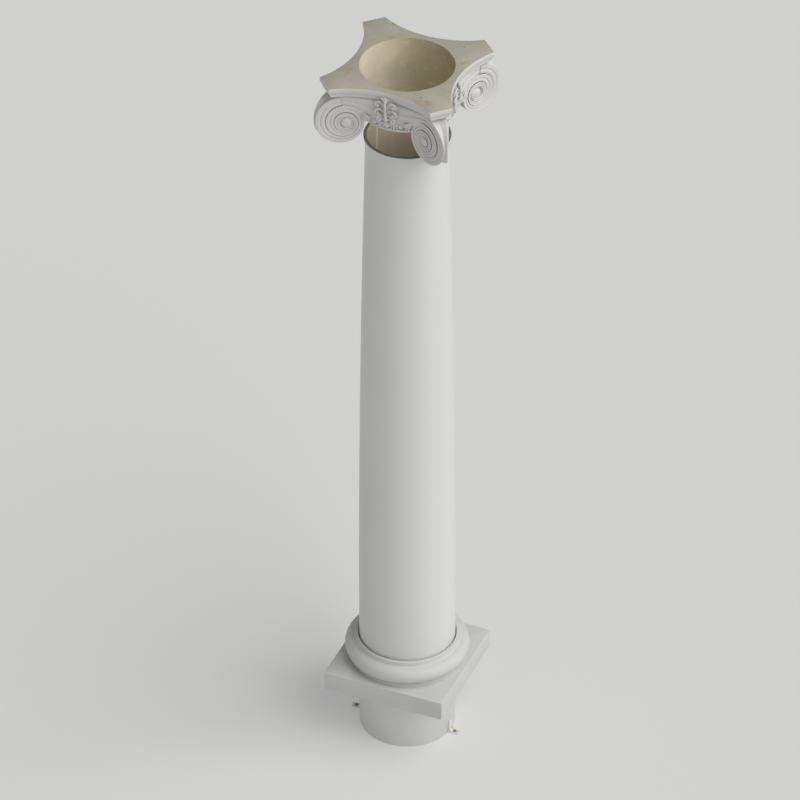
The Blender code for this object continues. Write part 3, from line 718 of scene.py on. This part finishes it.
def corner_rows():
    """The hollow edge between the two volutes of a corner: rows from a face's rim to the valley."""
    outline = [spiral_point(step / SPIRAL) for step in range(SPIRAL + 1)]
    outline += [spiral_point(0.0, across) for across, depth in BAND[:0:-1]]
    rows = []
    for along, up in outline + outline[:1]:
        drawn = along * VALLEY_SHARE if along > 0 else along
        valley = on_diagonal(on_face(drawn, up * (1 + VALLEY_SHARE) / 2, RIM_EDGE))
        rim = on_face(along, up, RIM_EDGE)
        row = []
        for step in range(EDGE_STEPS + 1):
            share = step / EDGE_STEPS
            hollow = VALLEY_HOLLOW * math.sin(share * math.pi)
            row.append(clear_of_bore(rim.lerp(valley, min(1.0, share + hollow * (1 - share)))))
        rows.append(row)
    return rows


def add_volute_pair(bm, turn):
    """Two carved volutes of one corner with the concave edge between them."""
    spin = quarter_spin(turn)
    count = SPIRAL * VOLUTE_TURNS
    rows = [band_row(step / SPIRAL) for step in range(count + 1)]
    eye_disc = [rows[step][-1] for step in range(count - SPIRAL, count + 1)]
    edges = corner_rows()
    eye_axes = (OUTWARD, INWARD, Vector((0, 0, 1)))
    for mirror in (False, True):
        def move(point):
            return spin @ (across_corner(point) if mirror else point)
        skin(bm, [[move(point) for point in row] for row in rows], wrap=False)
        skin(bm, [[move(point) for point in row] for row in edges], wrap=False)
        bm.faces.new([bm.verts.new(move(point)) for point in eye_disc])
        axes = [move(EYE + axis) - move(EYE) for axis in eye_axes]
        centre = move(on_face(0.0015, 0.0006, VOLUTE_RELIEF))
        add_blob(bm, centre, axes, EYE_SIZE, segments=32, rows=20)


def canalis_plan(share):
    """A point and a direction in plan, from the volute (0) to the middle of the side (1)."""
    start = on_face(0.0, 0.0, 0.0)
    points = [Vector((start.x, start.y)), Vector((0.66 * start.x, -CANALIS_FRONT - 0.002)),
              Vector((0.33 * start.x, -CANALIS_FRONT)), Vector((0.0, -CANALIS_FRONT))]
    keep = 1 - share
    spot = (points[0] * keep ** 3 + points[1] * 3 * keep ** 2 * share
            + points[2] * 3 * keep * share ** 2 + points[3] * share ** 3)
    slope = ((points[1] - points[0]) * keep ** 2 + (points[2] - points[1]) * 2 * keep * share
             + (points[3] - points[2]) * share ** 2)
    return spot, slope.normalized()


def add_canalis(bm, turn):
    """The grooved band that hangs from volute to volute across one side."""
    half = []
    for step in range(CANALIS_STEPS + 1):
        share = step / CANALIS_STEPS
        spot, slope = canalis_plan(share)
        inward = Vector((-slope.y, slope.x, 0.0))
        if inward.y < 0:
            inward = -inward
        row = []
        for across, depth in BAND:
            along, up = spiral_point(0.0, across)
            hang = CANALIS_SAG * across + CANALIS_DROP * (1 - across)
            point = Vector((spot.x, spot.y, EYE.z + up - hang * ease(share))) + inward * depth
            row.append(point - Vector((slope.x, slope.y, 0.0)) * along * (1 - share))
        back = inward * CANALIS_BACK
        skirt = row[-1] - Vector((0.0, 0.0, CANALIS_SKIRT))
        root = row[0] + back + Vector((0.0, 0.0, CANALIS_ROOT))
        half.append(row + [skirt + inward * 0.002, skirt + back, root])
    mirrored = [[Vector((-point.x, point.y, point.z)) for point in row] for row in half[:-1]]
    skin(bm, [quarter(row, turn) for row in mirrored + half[::-1]], cap=True)


def add_neck(bm, start, end):
    """A stretch of the neck's wall, standing on the shaft's rim."""
    seat = SHAFT_TOP + GAP
    outer = BORE_RADIUS + NECK_WALL
    top = CAPITAL_TOP - CAPITAL_DEPTH + 0.002
    foot = RIM_RADIUS - SHAFT_WALL + GAP
    profile = [(outer, top), (outer, seat), (foot, seat), (foot, seat + NECK_SEAT * 0.5),
               (foot + 0.002, seat + NECK_SEAT * 0.8), (foot + 0.006, seat + NECK_SEAT * 0.97),
               (BORE_RADIUS - 0.003, seat + NECK_SEAT), (BORE_RADIUS - BORE_SOFT, seat + NECK_SEAT * 1.08),
               (BORE_RADIUS, seat + NECK_SEAT * 1.3), (BORE_RADIUS, top)]
    steps = round((end - start) / NECK_PITCH)
    rows = []
    for step in range(steps + 1):
        angle = math.radians(start + (end - start) * step / steps)
        rows.append([(r * math.cos(angle), r * math.sin(angle), z) for r, z in profile])
    skin(bm, [row[:2] for row in rows], wrap=False, slot=0)
    skin(bm, [row[1:] for row in rows], wrap=False, slot=2)
    for row in (rows[0], rows[-1]):
        cut = bm.faces.new([bm.verts.new(point) for point in row])
        cut.material_index = 1


def curl(start, heading, longest, turns, hand, steps=26):
    """A flat scroll: leaves start along heading (radians) and curls in to its own eye."""
    points = [Vector(start)]
    angle = heading
    for step in range(steps):
        share = step / steps
        angle += hand * 2 * math.pi * turns / steps * (0.35 + 1.3 * share)
        stride = longest * (1 - 0.72 * share)
        points.append(points[-1] + Vector((math.cos(angle), math.sin(angle))) * stride)
    return points


def swell(count, foot, belly, tip, at=0.4):
    """Widths along a leaf: from its foot to its belly, a share of the way up, and to its tip."""
    sizes = []
    for index in range(count):
        share = index / (count - 1)
        if share < at:
            sizes.append(foot + (belly - foot) * ease(share / at))
        else:
            sizes.append(belly + (tip - belly) * ease((share - at) / (1 - at)))
    return sizes


def add_flower(bm, turn):
    """The flower in the middle of a side: a stem, curled leaves either side and a calyx."""
    spin = quarter_spin(turn)
    middle = CAPITAL_TOP - FLOWER_DEPTH
    front = -(ABACUS_MIDDLE - FLOWER_INSET)
    normal = spin @ Vector((0, -1, 0))
    curl_axes = (spin @ Vector((1, 0, 0)), spin @ Vector((0, 1, 0)), Vector((0, 0, 1)))

    def spot(along, up, out):
        return spin @ Vector((along, front - out, middle + up))

    def rope(points, widths, out, flat=0.7):
        spine = [spot(point[0], point[1], level) for point, level in zip(points, out)]
        add_rope(bm, spine, widths, normal, flat)

    ground = []
    for out, share in FLOWER_GROUND:
        ring = []
        for step in range(FLOWER_STEPS):
            angle = 2 * math.pi * step / FLOWER_STEPS
            lobe = 1.0 - 0.12 * (1 - math.cos(8 * angle)) / 2
            ring.append(spot(FLOWER_HALF[0] * share * lobe * math.sin(angle),
                             FLOWER_HALF[1] * share * lobe * math.cos(angle), out))
        ground.append(ring)
    skin(bm, ground, cap=True)

    stem = [(0.0, -0.030 + 0.074 * step / 16) for step in range(17)]
    stem_out = [0.006 + 0.006 * math.sin(math.pi * step / 16) + 0.002 * step / 16 for step in range(17)]
    rope(stem, swell(17, 0.0050, 0.0036, 0.0062, 0.55), stem_out, 0.9)
    for hand in (-1, 1):
        for start, heading, stride, turns, curl_hand, belly, tip, out, rise in CURLS:
            points = curl((hand * start[0], start[1]), heading if hand > 0 else math.pi - heading, stride,
                          turns, hand * curl_hand)
            count = len(points)
            levels = [out + rise * math.sin(math.pi * 0.5 * index / (count - 1)) for index in range(count)]
            rope(points, swell(count, CURL_FOOT, belly, tip), levels)
            end = spot(points[-1][0], points[-1][1], levels[-1] + 0.0010)
            add_blob(bm, end, curl_axes, CURL_END, segments=12, rows=8)
        bract = [(hand * (0.001 + 0.010 * ease(step / 10)), 0.030 + 0.014 * step / 10) for step in range(11)]
        bract_out = [0.008 + 0.004 * step / 10 for step in range(11)]
        rope(bract, swell(11, 0.0028, 0.0036, 0.0020, 0.5), bract_out)
    calyx = [(0.0, -0.024 - 0.020 * step / 8) for step in range(9)]
    calyx_out = [0.007 - 0.003 * step / 8 for step in range(9)]
    rope(calyx, swell(9, 0.0040, 0.0070, 0.0016, 0.4), calyx_out)


def add_corner_leaves(bm, turn):
    """Small half palmettes in the corners between the volutes and the eggs."""
    spin = quarter_spin(turn)
    normal = spin @ Vector((0, -1, 0))
    axes = [spin @ Vector(axis) for axis in ((1, 0, 0), (0, 1, 0), (0, 0, 1))]
    widths = [0.0014 + 0.0024 * math.sin(math.pi * min(1.0, step / 8 * 1.15)) for step in range(9)]
    for hand in (-1, 1):
        along, out, depth = LEAF_BUD
        bud = spin @ Vector((hand * along, -out, CAPITAL_TOP - depth))
        add_blob(bm, bud, axes, LEAF_BUD_SIZE, segments=16, rows=10)
        for tip in LEAF_TIPS:
            spine = []
            for step in range(9):
                share = step / 8
                bow = 0.0040 * math.sin(math.pi * share)
                along, out, depth = (start + (end - start) * share for start, end in zip(LEAF_ROOT, tip))
                spine.append(spin @ Vector((hand * along, -(out + bow), CAPITAL_TOP - depth)))
            add_rope(bm, spine, widths, normal, 0.9, 8)


def keep_within(bm):
    """Draws the outermost edges of the volutes in, so that they keep within the solids' box."""
    for vert in bm.verts:
        for axis in (0, 1):
            past = abs(vert.co[axis]) - PLAN_EASE
            if past > 0.0:
                vert.co[axis] = math.copysign(PLAN_EASE + past * PLAN_SHARE, vert.co[axis])


def make_capital():
    """The whole casting as one piece: paint (0) outside, bare top and cuts (1), resin (2) in the bore."""
    bm = bmesh.new()
    add_abacus(bm)
    add_echinus(bm)
    for start, end in NECK_STRETCHES:
        add_neck(bm, start, end)
    add_eggs(bm)
    for turn in range(4):
        add_corner_web(bm, turn)
        add_volute_pair(bm, turn)
        add_canalis(bm, turn)
        add_corner_leaves(bm, turn)
        add_flower(bm, turn)
    keep_within(bm)
    capital = finish_mesh("capital_cast", bm, [CAPITAL_PAINT, BARE, BORE_RESIN], 42.0)
    place_piece(capital, "capital")


def dress_small_parts():
    """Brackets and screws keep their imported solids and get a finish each."""
    for side in ("left", "right"):
        for node, finish in (("bracket_" + side, ZINC), ("screw_" + side, SCREW_BLUE)):
            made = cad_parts[node]
            made.data.materials.clear()
            made.data.materials.append(finish)


# Stage

FLOOR_HALF = 80.0
FLOOR_DROP = 0.0005              # keeps the floor clear of the column's underside
FLOOR_TONE = (0.52, 0.52, 0.517, 1.0)
FLOOR_GLOW = (1.0, 1.0, 0.985, 1.0)
FLOOR_GLOW_STRENGTH = 0.215
SKY_TONE = (0.97, 0.985, 1.0, 1.0)
SKY_STRENGTH = 0.29
# Where each sun's light travels, its strength, its width in degrees and its colour
SUNS = (("key", (-0.69, 0.063, -0.72), 2.25, 62.0, (1.0, 0.99, 0.97)),
        ("fill", (0.82, 0.47, -0.34), 0.05, 60.0, (1.0, 1.0, 1.0)))

CAMERA_PLACE = Vector((5.5495, -13.2031, 11.9284))
CAMERA_TURN = math.radians(-22.886)
CAMERA_DOWN = math.radians(36.777)
CAMERA_ROLL = math.radians(0.056)
CAMERA_LENS = 270.0
SENSOR = 36.0


def make_camera():
    """Looks at the column from the photo's side, high and far off."""
    data = bpy.data.cameras.new("camera")
    data.lens = CAMERA_LENS
    data.sensor_width = SENSOR
    data.clip_end = 200.0
    camera = bpy.data.objects.new("camera", data)
    bpy.context.scene.collection.objects.link(camera)
    ahead = Vector((math.cos(CAMERA_DOWN) * math.sin(CAMERA_TURN),
                    math.cos(CAMERA_DOWN) * math.cos(CAMERA_TURN), -math.sin(CAMERA_DOWN)))
    right = ahead.cross(Vector((0, 0, 1))).normalized()
    right.rotate(Matrix.Rotation(CAMERA_ROLL, 3, ahead))
    up = right.cross(ahead)
    pose = Matrix((right, up, -ahead)).transposed().to_4x4()
    pose.translation = CAMERA_PLACE
    camera.matrix_world = pose
    bpy.context.scene.camera = camera


def add_sun(name, towards, strength, spread, colour):
    """A soft sun; towards is the direction its light travels."""
    data = bpy.data.lights.new(name, "SUN")
    data.energy = strength
    data.angle = math.radians(spread)
    data.color = colour
    lamp = bpy.data.objects.new(name, data)
    bpy.context.scene.collection.objects.link(lamp)
    lamp.rotation_euler = Vector(towards).to_track_quat("-Z", "Y").to_euler()


def make_stage():
    """A pale floor, an even grey sky, a broad light from the right and a faint one from the left."""
    bm = bmesh.new()
    bmesh.ops.create_grid(bm, x_segments=1, y_segments=1, size=FLOOR_HALF)
    mesh = bpy.data.meshes.new("floor")
    bm.to_mesh(mesh)
    bm.free()
    made, nodes, links, shader = new_material("floor_paper")
    shader.inputs["Base Color"].default_value = FLOOR_TONE
    shader.inputs["Emission Color"].default_value = FLOOR_GLOW
    shader.inputs["Emission Strength"].default_value = FLOOR_GLOW_STRENGTH
    shader.inputs["Roughness"].default_value = 0.95
    shader.inputs["Specular IOR Level"].default_value = 0.1
    mesh.materials.append(made)
    floor = bpy.data.objects.new("floor", mesh)
    bpy.context.scene.collection.objects.link(floor)
    floor.location.z = -FLOOR_DROP
    world = bpy.data.worlds.new("studio")
    world.use_nodes = True
    sky = world.node_tree.nodes["Background"]
    sky.inputs["Color"].default_value = SKY_TONE
    sky.inputs["Strength"].default_value = SKY_STRENGTH
    bpy.context.scene.world = world
    for sun in SUNS:
        add_sun(*sun)
    bpy.context.scene.view_settings.view_transform = "Standard"
    bpy.context.scene.view_settings.look = "None"


make_shaft()
make_base_ring()
make_plinth()
make_capital()
dress_small_parts()
make_camera()
make_stage()
bpy.context.view_layer.update()
